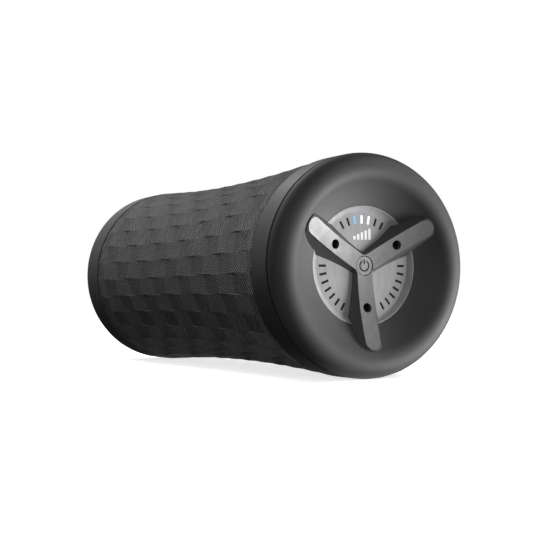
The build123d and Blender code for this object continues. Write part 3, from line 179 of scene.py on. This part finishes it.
def brushed(name, colour, rough=0.35, direction=(1.0, 1.0, 1.0), depth=0.004 * MM, metal=1.0, **constants):
    """Metal with fine lines drawn one way, smudges and a few deeper scratches."""
    s = Shader(name)
    lines = s.noise(0.9, 3.0, 0.6, s.stretched(direction))
    smudge = s.noise(9 * MM, 3.0)
    scratch = s.cells(1.0, "DISTANCE_TO_EDGE", s.stretched(tuple(d * 0.05 for d in direction)))
    cut = s.span(scratch, 0.0, 0.015, 1.0, 0.0)
    tone = s.mix(s.span(lines, 0.3, 0.7, 0.0, 1.0), scaled(colour, 0.9), scaled(colour, 1.08))
    tone = s.mix(s.span(smudge, 0.45, 0.75, 0.0, 0.25), tone, scaled(colour, 0.82))
    patches = s.span(smudge, 0.3, 0.7, rough - 0.05, rough + 0.07)
    shine = s.math("ADD", patches, s.math("MULTIPLY", cut, 0.05))
    relief = s.math("SUBTRACT", lines, s.math("MULTIPLY", cut, 0.4))
    return s.finish(tone, shine, s.bump(relief, depth), metal=metal, **constants)


def rubbery(name, colour, rough=0.72):
    """Rubber: chalky bloom in patches over a dull, faintly pitted skin."""
    s = Shader(name)
    pits = s.cells(0.5 * MM)
    bloom = s.noise(6 * MM, 5.0, 0.65)
    tone = s.mix(s.span(bloom, 0.45, 0.75, 0.0, 0.5), colour, scaled(colour, 1.9))
    shine = s.span(bloom, 0.3, 0.7, rough - 0.08, rough + 0.1)
    return s.finish(tone, shine, s.bump(pits, 0.02 * MM), specular=0.3)


def board(name, colour, copper):
    """Circuit board: solder mask over a net of tracks, with the weave of the laminate under it."""
    s = Shader(name)
    tracks = s.cells(3.2 * MM, "DISTANCE_TO_EDGE", s.stretched((0.01, 1.0, 1.0)))
    on_track = s.span(tracks, 0.05, 0.08, 1.0, 0.0)
    weave = s.noise(0.4 * MM, 1.0)
    tone = s.mix(on_track, colour, scaled(colour, 1.9))
    pads = s.span(s.cells(5.5 * MM), 0.12, 0.14, 1.0, 0.0)
    tone = s.mix(pads, tone, copper)
    shine = s.span(weave, 0.3, 0.7, 0.32, 0.42)
    relief = s.math("ADD", on_track, s.math("MULTIPLY", weave, 0.2))
    return s.finish(tone, shine, s.bump(relief, 0.03 * MM), coat=0.3, coat_rough=0.2)


# A wave texture repeats every tau / 20 of a unit at a scale of 1.
WAVE_LENGTH = 0.314


def wound(name, colour, pitch=0.45 * MM):
    """Enamelled wire laid in parallel turns along the shaft."""
    s = Shader(name)
    wave = s.add("ShaderNodeTexWave", wave_profile="SIN", bands_direction="Y")
    s.link(s.place, wave.inputs["Vector"])
    wave.inputs["Scale"].default_value = WAVE_LENGTH / pitch
    wave.inputs["Distortion"].default_value = 0.6
    turns = wave.outputs[1]
    # Painted shade: the colour darkens in the grooves between the turns.
    tone = s.mix(turns, scaled(colour, 0.45), colour)
    return s.finish(tone, s.span(turns, 0.0, 1.0, 0.45, 0.25), s.bump(turns, 0.1 * MM), metal=1.0, coat=0.4)


def laminated(name, colour, pitch=0.5 * MM):
    """A stack of stamped sheets across the shaft, with dark varnish between them."""
    s = Shader(name)
    wave = s.add("ShaderNodeTexWave", wave_profile="SAW", bands_direction="X")
    s.link(s.place, wave.inputs["Vector"])
    wave.inputs["Scale"].default_value = WAVE_LENGTH / pitch
    sheet = wave.outputs[1]
    rust = s.noise(3 * MM, 5.0)
    tone = s.mix(s.span(sheet, 0.0, 0.2, 0.7, 0.0), colour, scaled(colour, 0.35))
    tone = s.mix(s.span(rust, 0.58, 0.75, 0.0, 0.4), tone, (0.16, 0.08, 0.04))
    return s.finish(tone, s.span(rust, 0.3, 0.7, 0.45, 0.6), s.bump(sheet, 0.04 * MM), metal=0.8)


def lit(name, colour, glow, strength):
    """A diffusing window with its lamp on behind it, a little cloudy."""
    s = Shader(name)
    cloud = s.noise(1.2 * MM, 3.0)
    tone = s.mix(s.span(cloud, 0.3, 0.7, 0.0, 0.4), colour, scaled(colour, 0.85))
    shine = s.span(cloud, 0.3, 0.7, 0.3, 0.42)
    return s.finish(tone, shine, s.bump(cloud, 0.01 * MM), glow=strength, glow_colour=glow)


# ---------------------------------------------------------------- sleeve

ROWS = 32
ROW_ANGLE = math.tau / ROWS
FIRST_ROW = math.radians(177.4)
PERIOD = 42.25 * MM
RIDGE_X = 12.85 * MM
RIDGE_HEIGHT = 0.32 * MM
RIDGE_SHARPNESS = 0.997
END_RADIUS = 64.8 * MM
WAIST_RADIUS = 60.2 * MM
BORE_RADIUS = 48.0 * MM
FADE_LENGTH = 23.0 * MM
CORNER = 0.7 * MM
STEP_WIDTH = 0.4 * MM
STEP_GUARD = 0.15 * MM
STATION_STEP = 0.88 * MM
STATIONS_ACROSS_FACET = 9
CORNER_STEPS = 4
KNOBS_ROUND = 200
KNOB_LENGTH = 2.6 * MM
# Painted light and shade on the sleeve's facets: facets that face the front are painted lighter, the others
# darker, and the lighter paint fades out near each end.
FACET_PAINTED_LIGHT_FADE = 6.0 * MM
FACET_PAINTED_LIGHT_SPLIT = 0.1
FACET_PAINTED_LIGHT_SOFTNESS = 0.05
FACET_PAINTED_LIGHT_AND_SHADE = (0.48, 1.6)

sleeve_low, sleeve_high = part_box("textured_sleeve")
AXIS_Z = (sleeve_low.z + sleeve_high.z) / 2


def smooth(t):
    """A soft step from 0 to 1."""
    t = np.clip(t, 0.0, 1.0)
    return t * t * (3.0 - 2.0 * t)


SHARP_ANGLE = math.radians(50)


def closed_ring(name, xs, rs, angles):
    """A closed ring round the roller's axis: one loop of x and radius for each point of its profile."""
    count, around = xs.shape
    points = np.stack([xs, rs * np.cos(angles), AXIS_Z + rs * np.sin(angles)], -1).reshape(-1, 3)
    i, j = np.meshgrid(np.arange(count), np.arange(around), indexing="ij")
    i2, j2 = (i + 1) % count, (j + 1) % around
    faces = np.stack([i * around + j, i * around + j2, i2 * around + j2, i2 * around + j], -1).reshape(-1, 4)
    mesh = bpy.data.meshes.new(name)
    mesh.from_pydata(points.tolist(), [], faces.tolist())
    mesh.polygons.foreach_set("use_smooth", [True] * len(mesh.polygons))
    mesh.update()
    ring = bpy.data.objects.new(name, mesh)
    scene.collection.objects.link(ring)
    mesh.set_sharp_from_angle(angle=SHARP_ANGLE)
    return ring


def build_sleeve():
    """A closed foam hourglass, cut into rows of slanted facets, each row half a facet on."""
    x0, x1 = sleeve_low.x, sleeve_high.x
    middle, half = (x0 + x1) / 2, (x1 - x0) / 2
    rise = END_RADIUS - WAIST_RADIUS
    arc_radius = (half * half + rise * rise) / (2 * rise)
    stations = np.linspace(x0 + CORNER, x1 - CORNER, int((x1 - x0) / STATION_STEP))
    half_step = STEP_WIDTH / (2 * END_RADIUS)
    guard = half_step + STEP_GUARD / END_RADIUS
    start = -ROW_ANGLE / 2
    across = np.concatenate(
        [
            start + np.array([-half_step, 0.0, half_step, guard]),
            np.linspace(start + guard, -start - guard, STATIONS_ACROSS_FACET)[1:],
        ]
    )
    angles = np.concatenate([FIRST_ROW + k * ROW_ANGLE + across for k in range(ROWS)])

    def facet(x, row):
        phase = math.tau * (x - RIDGE_X) / PERIOD + math.pi / 2 + math.pi * (row % 2)
        zigzag = np.arcsin(RIDGE_SHARPNESS * np.sin(phase)) / math.asin(RIDGE_SHARPNESS)
        fade = smooth((x - x0) / FADE_LENGTH) * smooth((x1 - x) / FADE_LENGTH)
        return RIDGE_HEIGHT * zigzag * fade

    mean = WAIST_RADIUS + arc_radius - np.sqrt(arc_radius**2 - (stations - middle) ** 2)
    turn = (angles - FIRST_ROW) / ROW_ANGLE
    row = np.round(turn)
    offset = (turn - row) * ROW_ANGLE
    to_edge = ROW_ANGLE / 2 - np.abs(offset)
    own = np.clip(0.5 + to_edge / (2 * half_step), 0.0, 1.0)
    sag = (np.cos(ROW_ANGLE / 4) / np.cos(offset) - 1.0) * END_RADIUS
    grid_x = np.repeat(stations[:, None], len(angles), 1)
    here = facet(grid_x, row[None, :])
    there = facet(grid_x, row[None, :] + 1)
    outer = mean[:, None] + sag[None, :] + here * own[None, :] + there * (1.0 - own[None, :])

    loops_x, loops_r = list(grid_x), list(outer)
    corner = [(1.0 - math.cos(a), math.sin(a)) for a in np.linspace(0, math.pi / 2, CORNER_STEPS)[1:]]
    for drop, forward in corner:
        loops_x.append(np.full(len(angles), x1 - CORNER + forward * CORNER))
        loops_r.append(outer[-1] - drop * CORNER)
    for x, r in ((x1, BORE_RADIUS), (x0, BORE_RADIUS)):
        loops_x.append(np.full(len(angles), x))
        loops_r.append(np.full(len(angles), r))
    for drop, forward in reversed(corner):
        loops_x.append(np.full(len(angles), x0 + CORNER - forward * CORNER))
        loops_r.append(outer[0] - drop * CORNER)
    return closed_ring("foam_sleeve", np.array(loops_x), np.array(loops_r), angles)


def sleeve_foam():
    """Closed-cell foam whose mould left a net of small slanting knobs all over; its colour holds painted
    shade in the grooves, painted highlights on the knob tops and painted light and shade on the facets.
    """
    s = Shader("sleeve_foam")
    split = s.add("ShaderNodeSeparateXYZ")
    s.link(s.place, split.inputs[0])
    x, y, z = split.outputs
    turn = s.math("ARCTAN2", s.math("SUBTRACT", z, AXIS_Z), y)
    v = s.math("MULTIPLY", turn, KNOBS_ROUND / math.tau)
    u = s.math("DIVIDE", x, KNOB_LENGTH)
    one = s.math("ABSOLUTE", s.math("SINE", s.math("MULTIPLY", s.math("ADD", u, v), math.pi)))
    two = s.math("ABSOLUTE", s.math("SINE", s.math("MULTIPLY", s.math("SUBTRACT", u, v), math.pi)))
    knob = s.math("MULTIPLY", one, two)
    slow = s.noise(18 * MM, 4.0)
    pores = s.noise(0.25 * MM, 2.0, 0.7)
    dusty = s.noise(45 * MM, 5.0, 0.6)
    # Painted shade in the grooves between the knobs and painted highlights on their tops, from near black to
    # grey.
    tone = s.mix(s.span(knob, 0.25, 0.5, 0.0, 1.0), (0.005, 0.005, 0.005), (0.15, 0.15, 0.153))
    tone = s.mix(s.span(slow, 0.3, 0.7, 0.0, 0.2), tone, (0.05, 0.05, 0.051))
    tone = s.mix(s.span(dusty, 0.55, 0.75, 0.0, 0.12), tone, (0.12, 0.118, 0.115))
    # Painted light and shade: facets that lean towards the front get the lighter multiplier, the others the
    # darker one, and near each end all go to the darker one.
    row = s.math("ROUND", s.math("DIVIDE", s.math("SUBTRACT", turn, FIRST_ROW), ROW_ANGLE))
    odd = s.math("FLOORED_MODULO", row, 2.0)
    phase = s.math("MULTIPLY", s.math("SUBTRACT", x, RIDGE_X), math.tau / PERIOD)
    phase = s.math("ADD", s.math("ADD", phase, math.pi / 2), s.math("MULTIPLY", odd, math.pi))
    slope = s.math("COSINE", phase)
    forward = s.span(slope, FACET_PAINTED_LIGHT_SPLIT - FACET_PAINTED_LIGHT_SOFTNESS, FACET_PAINTED_LIGHT_SPLIT + FACET_PAINTED_LIGHT_SOFTNESS, 1.0, 0.0)
    from_rear = s.math("SUBTRACT", x, sleeve_low.x)
    from_front = s.math("SUBTRACT", sleeve_high.x, x)
    near_end = s.math("MINIMUM", from_rear, from_front)
    lit_share = s.math("MULTIPLY", forward, s.span(near_end, 0.0, FACET_PAINTED_LIGHT_FADE, 0.0, 1.0))
    painted_facet_light = s.span(lit_share, 0.0, 1.0, *FACET_PAINTED_LIGHT_AND_SHADE)
    tone = s.mix(1.0, tone, painted_facet_light, blend="MULTIPLY")
    shine = s.span(s.math("ADD", s.math("MULTIPLY", knob, 0.5), pores), 0.2, 1.2, 0.5, 0.36)
    relief = s.bump(pores, 0.02 * MM, 0.6, s.bump(knob, 0.8 * MM))
    return s.finish(tone, shine, relief, specular=0.3, sheen=0.2, sheen_rough=0.3)


sleeve = build_sleeve()
sleeve.data.materials.append(sleeve_foam())
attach(sleeve, "housing")
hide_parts("textured_sleeve")

# ---------------------------------------------------------------- finishes on the CAD nodes

# Lines per metre along X, Y and Z: a brushed finish is fine across its lines and coarse along them.
LINES_ROUND = (1200.0, 40.0, 40.0)
LINES_ALONG = (30.0, 1400.0, 1400.0)
DISC_LINES = (30.0, 900.0, 60.0)
TRIM_LINES = (40.0, 300.0, 300.0)
BUTTON_LINES = (40.0, 500.0, 120.0)
SCREW_LINES = (600.0, 60.0, 60.0)

cap_plastic = moulded("cap_plastic", (0.083, 0.083, 0.086), rough=0.64, grain=0.3 * MM, depth=0.012 * MM)
collar_plastic = moulded("collar_plastic", (0.07, 0.07, 0.074), rough=0.55, grain=0.3 * MM, depth=0.008 * MM)
seal_rubber = rubbery("seal_rubber", (0.003, 0.003, 0.003), rough=0.9)
dial_metal = brushed("dial_metal", (0.47, 0.47, 0.48), rough=0.8, direction=DISC_LINES, metal=0.05)
trim_metal = brushed("trim_metal", (0.25, 0.25, 0.255), rough=0.58, direction=TRIM_LINES, metal=0.65)
button_metal = brushed("button_metal", (0.4, 0.4, 0.405), rough=0.38, direction=BUTTON_LINES, metal=0.8)
backing_black = moulded("backing_black", (0.006, 0.006, 0.006), rough=0.6, specular=0.2)
screw_black = brushed("screw_black", (0.012, 0.012, 0.013), rough=0.45, direction=SCREW_LINES, metal=0.3)
symbol_ink = moulded("symbol_ink", (0.01, 0.01, 0.011), rough=0.6, specular=0.2)
# The printed mark glows faintly white though no lamp is behind it: painted light.
mark_ink_painted_glow = moulded("mark_ink_painted_glow", (0.82, 0.82, 0.83), rough=0.5, glow=0.25, glow_colour=WHITE)
blue_window = lit("blue_window", (0.25, 0.55, 0.85), (0.20, 0.50, 0.85), 0.45)
white_window = lit("white_window", (0.9, 0.92, 0.94), (0.92, 0.96, 1.0), 0.8)
green_board = board("green_board", (0.02, 0.11, 0.045), (0.75, 0.5, 0.2))
inner_black = moulded("inner_black", (0.02, 0.02, 0.021), rough=0.5)
inner_grey = moulded("inner_grey", (0.16, 0.16, 0.17), rough=0.6)
nylon = moulded("nylon", (0.06, 0.06, 0.065), rough=0.58, grain=0.6 * MM, depth=0.03 * MM)
ivory_plastic = moulded("ivory_plastic", (0.8, 0.77, 0.68), rough=0.45)
lamp_resin = lit("lamp_resin", (0.85, 0.83, 0.6), (1.0, 0.95, 0.7), 0.2)
steel = brushed("steel", (0.55, 0.55, 0.56), direction=LINES_ROUND)
bright_steel = brushed("bright_steel", (0.75, 0.75, 0.76), rough=0.15, direction=LINES_ROUND)
dark_steel = brushed("dark_steel", (0.36, 0.36, 0.37), rough=0.4, direction=LINES_ROUND)
rod_metal = brushed("rod_metal", (0.66, 0.66, 0.67), direction=LINES_ALONG)
nickel = brushed("nickel", (0.68, 0.65, 0.58), rough=0.3, direction=LINES_ALONG)
brass = brushed("brass", (0.75, 0.55, 0.22), direction=LINES_ROUND)
copper = wound("copper", (0.75, 0.32, 0.13))
core_sheets = laminated("core_sheets", (0.3, 0.3, 0.31))
ferrite = rubbery("ferrite", (0.05, 0.05, 0.055), rough=0.55)
carbon = rubbery("carbon", (0.03, 0.03, 0.03), rough=0.5)
cell_wrap = moulded("cell_wrap", (0.04, 0.28, 0.34), rough=0.28, coat=0.4)
wire_black = rubbery("wire_black", (0.015, 0.015, 0.015), rough=0.45)
wire_red = rubbery("wire_red", (0.42, 0.02, 0.02), rough=0.45)
wire_grey = rubbery("wire_grey", (0.2, 0.2, 0.21), rough=0.5)

FINISH = {
    cap_plastic: ["front_cap", "rear_cap", "spoke_frame"],
    collar_plastic: ["front_collar"],
    seal_rubber: ["rear_gasket", "button_seal", "isolator_rings"],
    dial_metal: ["dial_disc", "rear_disc"],
    trim_metal: ["spoke_trim"],
    button_metal: ["power_button"],
    backing_black: ["dial_backing"],
    screw_black: ["spoke_screws", "rear_screws", "grub_screws"],
    symbol_ink: ["power_symbol"],
    mark_ink_painted_glow: ["level_mark"],
    blue_window: ["mode_light_guide"],
    white_window: ["level_light_guides"],
    green_board: ["control_board", "protection_board"],
    inner_black: ["tact_switch", "controller_chip", "brush_carrier", "charge_tongue"],
    inner_grey: ["core_tube"],
    nylon: [
        "front_bulkhead",
        "rear_bulkhead",
        "rod_spacers",
        "cell_holders",
        "motor_mounts",
        "charge_bracket",
    ],
    ivory_plastic: ["switch_plunger", "board_connectors"],
    lamp_resin: ["indicator_leds"],
    steel: [
        "board_screws",
        "rod_nuts",
        "motor_can",
        "front_end_bell",
        "rear_end_bell",
        "motor_shaft",
        "charge_receptacle",
    ],
    bright_steel: ["bearing_balls", "bearing_outer_races", "bearing_inner_races"],
    dark_steel: ["eccentric_weights"],
    rod_metal: ["tie_rods"],
    nickel: ["cell_links"],
    brass: ["bearing_cages", "commutator"],
    copper: ["armature_windings"],
    core_sheets: ["armature_core"],
    ferrite: ["motor_magnets"],
    carbon: ["motor_brushes"],
    cell_wrap: ["battery_cells"],
    wire_black: ["battery_lead"],
    wire_red: ["motor_lead"],
    wire_grey: ["charge_lead"],
}
for finish, names in FINISH.items():
    for name in names:
        slots = nodes[name].material_slots
        if not slots:
            nodes[name].data.materials.append(finish)
        for slot in slots:
            slot.material = finish
REPLACED = {"textured_sleeve", "front_gasket"}
finished = {name for names in FINISH.values() for name in names}
unfinished = set(nodes) - finished - REPLACED
if unfinished:
    raise SystemExit(f"no finish for {sorted(unfinished)}")

# ---------------------------------------------------------------- front seam

SEAM_RADIUS = 64.9 * MM
SEAM_CROWN = 0.25 * MM
SEAM_BORE = 62.5 * MM
SEAM_SEGMENTS = 360
CROWN_POINTS = 9


def build_seam():
    """The rubber ring between the collar and the front cap, squeezed up until it almost fills its groove."""
    low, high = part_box("front_gasket")
    middle, half = (low.x + high.x) / 2, (high.x - low.x) / 2
    across = np.linspace(-1.0, 1.0, CROWN_POINTS)
    profile_x = np.concatenate([middle + half * across, [high.x, low.x]])
    profile_r = np.concatenate([SEAM_RADIUS - SEAM_CROWN * across**2, [SEAM_BORE, SEAM_BORE]])
    angles = np.arange(SEAM_SEGMENTS) * math.tau / SEAM_SEGMENTS
    xs = np.repeat(profile_x[:, None], SEAM_SEGMENTS, 1)
    rs = np.repeat(profile_r[:, None], SEAM_SEGMENTS, 1)
    return closed_ring("seam_rubber", xs, rs, angles)


seam = build_seam()
seam.data.materials.append(seal_rubber)
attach(seam, "housing")
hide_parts("front_gasket")

# ---------------------------------------------------------------- floor, light and camera

FLOOR_SIZE = 30.0
FLOOR_GLOW = 0.72
DUST_DEPTH = 0.2 * MM


def pale_floor():
    s = Shader("pale_floor")
    dust = s.noise(0.4, 4.0)
    tone = s.mix(dust, (0.9, 0.9, 0.9), (0.93, 0.93, 0.93))
    relief = s.bump(dust, DUST_DEPTH)
    return s.finish(tone, 0.9, relief, specular=0.0, glow=FLOOR_GLOW, glow_colour=WHITE)


mesh = bpy.data.meshes.new("floor")
e = FLOOR_SIZE
mesh.from_pydata([(-e, -e, 0), (e, -e, 0), (e, e, 0), (-e, e, 0)], [], [(0, 1, 2, 3)])
floor = bpy.data.objects.new("floor", mesh)
scene.collection.objects.link(floor)
floor.data.materials.append(pale_floor())
# The floor glows for the camera alone, so it neither lights the roller nor darkens it.
floor.visible_diffuse = False
floor.visible_glossy = False
floor.visible_shadow = False

LIGHT_DISTANCE = 1.5
LIGHT_SIZE = 0.6
LIGHT_AIM = Vector((0.05, 0.0, 0.065))


def soft_box(name, direction, power):
    """A square soft light of the given watts, aimed at the control end of the roller."""
    light = bpy.data.lights.new(name, "AREA")
    light.shape = "RECTANGLE"
    light.size = LIGHT_SIZE
    light.size_y = LIGHT_SIZE
    light.energy = power
    lamp = bpy.data.objects.new(name, light)
    scene.collection.objects.link(lamp)
    away = Vector(direction).normalized()
    lamp.location = LIGHT_AIM + away * LIGHT_DISTANCE
    lamp.rotation_mode = "QUATERNION"
    lamp.rotation_quaternion = away.to_track_quat("Z", "Y")
    lamp.visible_camera = False


# name, degrees round from +X towards +Y, degrees above the floor, watts
SOFT_BOXES = (
    ("key", 60, -15, 31.0),
    ("high_key", 60, 45, 4.2),
    ("front", -30, 15, 3.8),
    ("back_low", 135, -50, 2.9),
    ("end_low", 180, 15, 1.2),
    ("end_high", 180, 45, 4.9),
    ("rim_low", -150, 15, 1.3),
    ("rim_high", -150, 45, 4.8),
)
for name, around, above, power in SOFT_BOXES:
    turn, lift = math.radians(around), math.radians(above)
    direction = (math.cos(turn) * math.cos(lift), math.sin(turn) * math.cos(lift), math.sin(lift))
    soft_box(name, direction, power)

SUN_STRENGTH = 1.3
SUN_SPREAD = math.radians(40)
SUN_TILT = (math.radians(8), math.radians(-12), 0.0)

# A wide sun that reaches only the floor and leaves a light shadow on it.
sun = bpy.data.lights.new("floor_sun", "SUN")
sun.energy = SUN_STRENGTH
sun.angle = SUN_SPREAD
sun_lamp = bpy.data.objects.new("floor_sun", sun)
scene.collection.objects.link(sun_lamp)
sun_lamp.rotation_euler = SUN_TILT
floor_only = bpy.data.collections.new("floor_only")
floor_only.objects.link(floor)
sun_lamp.light_linking.receiver_collection = floor_only

AMBIENT = 0.01

# The camera sees a white room, and the roller is lit by next to none of it.
world = bpy.data.worlds.new("studio")
scene.world = world
world.use_nodes = True
tree = world.node_tree
tree.nodes.clear()
output = tree.nodes.new("ShaderNodeOutputWorld")
seen = tree.nodes.new("ShaderNodeBackground")
dim = tree.nodes.new("ShaderNodeBackground")
choose = tree.nodes.new("ShaderNodeMixShader")
path = tree.nodes.new("ShaderNodeLightPath")
seen.inputs["Color"].default_value = (*WHITE, 1.0)
dim.inputs["Color"].default_value = (*WHITE, 1.0)
dim.inputs["Strength"].default_value = AMBIENT
tree.links.new(path.outputs["Is Camera Ray"], choose.inputs[0])
tree.links.new(dim.outputs[0], choose.inputs[1])
tree.links.new(seen.outputs[0], choose.inputs[2])
tree.links.new(choose.outputs[0], output.inputs[0])

CAMERA_PLACE = (0.68245, -0.3536, 0.0479)
CAMERA_RIGHT = Vector((0.4794, 0.8775, -0.0105))
CAMERA_UP = Vector((0.0218, 0.0, 0.9998))
SENSOR_WIDTH = 36.0
LENS = 73.06
NEAREST, FARTHEST = 0.01, 100.0

camera_data = bpy.data.cameras.new("camera")
camera_data.sensor_width = SENSOR_WIDTH
camera_data.lens = LENS
camera_data.clip_start = NEAREST
camera_data.clip_end = FARTHEST
camera = bpy.data.objects.new("camera", camera_data)
scene.collection.objects.link(camera)
back = CAMERA_RIGHT.cross(CAMERA_UP).normalized()
right = CAMERA_UP.cross(back).normalized()
up = back.cross(right)
camera.matrix_world = Matrix.Translation(CAMERA_PLACE) @ Matrix((right, up, back)).transposed().to_4x4()
scene.camera = camera

scene.view_settings.view_transform = "Standard"
scene.view_settings.look = "None"
